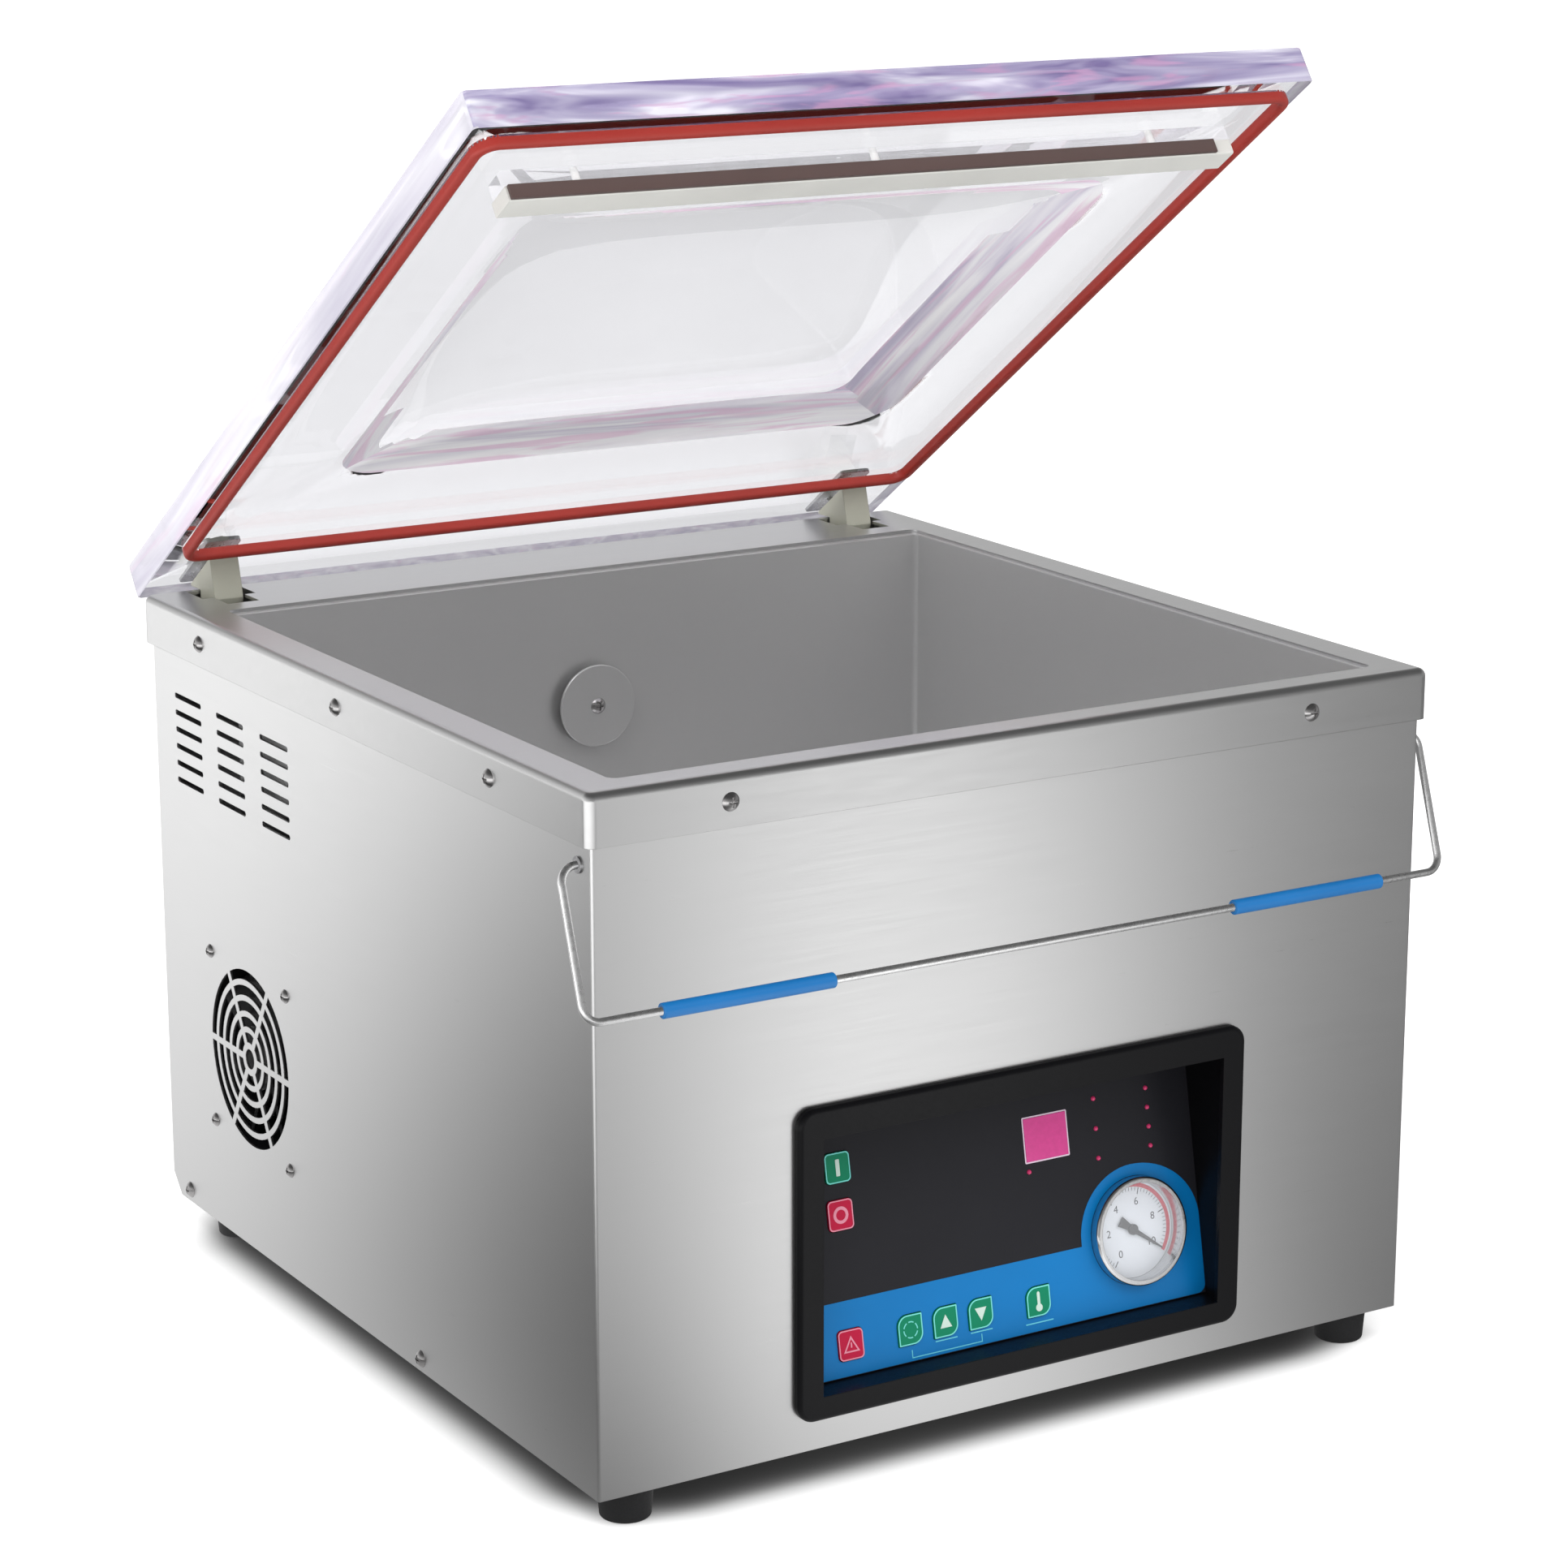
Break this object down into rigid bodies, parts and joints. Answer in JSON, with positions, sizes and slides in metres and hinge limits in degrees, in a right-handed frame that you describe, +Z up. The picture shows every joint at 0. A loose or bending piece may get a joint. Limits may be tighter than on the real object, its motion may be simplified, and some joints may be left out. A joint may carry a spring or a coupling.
{
  "type": "vacuum chamber sealer",
  "caption": "Table-top vacuum packing machine: steel housing with an open chamber under a clear hinged lid, recessed control panel with gauge and keys, and a front wire bail.",
  "frame": {"origin": "on the floor, in the middle of the outline of the object with its lid open", "axes": "+X to the right seen from the control panel, +Y to the rear hinges, +Z up"},
  "size_m": [0.5422, 0.588, 0.7183],
  "materials": {
    "stainless_sheet": "brushed stainless sheet",
    "chamber_steel": "satin stainless, finer grain than the outside",
    "screw_steel": "bright stainless",
    "plain_steel": "plain bright steel",
    "foot_rubber": "matt black rubber",
    "acrylic": "clear cast acrylic, polished edges",
    "gasket_silicone": "brick-red silicone",
    "bar_silicone": "pale grey silicone",
    "bar_strip": "dark brown plastic",
    "hinge_plastic": "off-white moulded plastic",
    "wire_steel": "bright drawn stainless wire",
    "sleeve_blue": "blue plastic tube",
    "bezel_black": "satin black plastic",
    "panel_print": "printed film on the control plate",
    "key_green": "printed green key",
    "key_red": "printed red key",
    "display_pink": "tinted display window",
    "lamp_red": "small red lamp",
    "gauge_chrome": "polished ring",
    "dial_white": "white printed dial",
    "needle_black": "black needle",
    "gauge_glass": "clear lens",
    "board_green": "circuit board",
    "fan_plastic": "black moulded plastic",
    "aluminium": "extruded aluminium",
    "tape_brown": "non-stick woven tape",
    "strip_metal": "resistance strip",
    "pump_paint": "painted casting",
    "motor_paint": "painted motor shell",
    "hose_rubber": "reinforced hose",
    "valve_brass": "brass valve block",
    "core_steel": "laminated core",
    "inlet_black": "black inlet module",
    "rocker_red": "red rocker"
  },
  "bodies": {
    "housing": {"base_plate": "stainless_sheet", "front_panel": "stainless_sheet", "left_side_panel": "stainless_sheet", "right_side_panel": "stainless_sheet", "rear_panel": "stainless_sheet", "top_deck": "stainless_sheet", "vacuum_chamber": "chamber_steel", "rubber_feet": "foot_rubber", "foot_screws": "plain_steel", "housing_screws": "screw_steel", "fan_frame": "fan_plastic", "fan_screws": "screw_steel", "control_bezel": "bezel_black", "control_plate": "panel_print", "display_window": "display_pink", "indicator_lamps": "lamp_red", "gauge_case": "gauge_chrome", "gauge_dial": "dial_white", "gauge_lens": "gauge_glass", "circuit_board": "board_green", "port_cover": "chamber_steel", "port_screw": "screw_steel", "lift_cylinders": "aluminium", "hinge_shaft": "plain_steel", "hinge_brackets": "plain_steel", "lid_springs": "plain_steel", "bail_bushes": "plain_steel", "vacuum_pump": "pump_paint", "pump_motor": "motor_paint", "pump_mounts": "foot_rubber", "valve_block": "valve_brass", "vacuum_hose": "hose_rubber", "transformer": "core_steel", "power_inlet": "inlet_black"},
    "lid_group": {"lid": "acrylic", "lid_gasket": "gasket_silicone", "silicone_bar_holder": "acrylic", "silicone_bar": "bar_silicone", "bar_retainer_strip": "bar_strip", "left_hinge_arm": "hinge_plastic", "right_hinge_arm": "hinge_plastic", "lid_hinge_plates": "plain_steel", "lid_screws": "screw_steel"},
    "bail": {"bail_wire": "wire_steel", "left_bail_sleeve": "sleeve_blue", "right_bail_sleeve": "sleeve_blue"},
    "seal_group": {"seal_bar": "aluminium", "heating_strip": "strip_metal", "sealing_tape": "tape_brown", "lift_rods": "plain_steel"},
    "fan": {"fan_rotor": "fan_plastic"},
    "needle": {"gauge_needle": "needle_black"},
    "rocker": {"mains_switch": "rocker_red"},
    "start_key_body": {"start_key": "key_green"},
    "stop_key_body": {"stop_key": "key_red"},
    "halt_key_body": {"halt_key": "key_red"},
    "cycle_key_body": {"cycle_key": "key_green"},
    "up_key_body": {"up_key": "key_green"},
    "down_key_body": {"down_key": "key_green"},
    "heat_key_body": {"heat_key": "key_green"}
  },
  "joints": [
    {"name": "lid_hinge", "type": "hinge", "parent": "housing", "child": "lid_group", "pos_m": [0, 0.25353, 0.362], "axis": [1, 0, 0], "range_deg": [0, 35], "stiffness_Nm_per_rad": 7, "springref_deg": -177.62},
    {"name": "bail_hinge", "type": "hinge", "parent": "housing", "child": "bail", "pos_m": [0, -0.26527, 0.3515], "axis": [-1, 0, 0], "range_deg": [0, 174]},
    {"name": "seal_bar_lift", "type": "slide", "parent": "housing", "child": "seal_group", "axis": [0, 0, 1], "range_m": [0, 0.006]},
    {"name": "fan_spin", "type": "hinge", "parent": "housing", "child": "fan", "pos_m": [-0.24, 0.13983, 0.1368], "axis": [1, 0, 0], "continuous": true},
    {"name": "gauge_needle_turn", "type": "hinge", "parent": "housing", "child": "needle", "pos_m": [0.0883, -0.26084, 0.09213], "axis": [0, -0.9823, 0.1874], "range_deg": [0, 246], "stiffness_Nm_per_rad": 0.0005, "springref_deg": -11.46},
    {"name": "mains_rocker", "type": "hinge", "parent": "housing", "child": "rocker", "pos_m": [0.15, 0.26003, 0.079], "axis": [1, 0, 0], "range_deg": [0, 16]},
    {"name": "start_press", "type": "slide", "parent": "housing", "child": "start_key_body", "axis": [0, 0.9823, -0.1874], "range_m": [0, 0.0008], "stiffness_N_per_m": 500, "springref_m": -0.001},
    {"name": "stop_press", "type": "slide", "parent": "housing", "child": "stop_key_body", "axis": [0, 0.9823, -0.1874], "range_m": [0, 0.0008], "stiffness_N_per_m": 500, "springref_m": -0.001},
    {"name": "halt_press", "type": "slide", "parent": "housing", "child": "halt_key_body", "axis": [0, 0.9823, -0.1874], "range_m": [0, 0.0008], "stiffness_N_per_m": 500, "springref_m": -0.001},
    {"name": "cycle_press", "type": "slide", "parent": "housing", "child": "cycle_key_body", "axis": [0, 0.9823, -0.1874], "range_m": [0, 0.0008], "stiffness_N_per_m": 500, "springref_m": -0.001},
    {"name": "up_press", "type": "slide", "parent": "housing", "child": "up_key_body", "axis": [0, 0.9823, -0.1874], "range_m": [0, 0.0008], "stiffness_N_per_m": 500, "springref_m": -0.001},
    {"name": "down_press", "type": "slide", "parent": "housing", "child": "down_key_body", "axis": [0, 0.9823, -0.1874], "range_m": [0, 0.0008], "stiffness_N_per_m": 500, "springref_m": -0.001},
    {"name": "heat_press", "type": "slide", "parent": "housing", "child": "heat_key_body", "axis": [0, 0.9823, -0.1874], "range_m": [0, 0.0008], "stiffness_N_per_m": 500, "springref_m": -0.001}
  ]
}
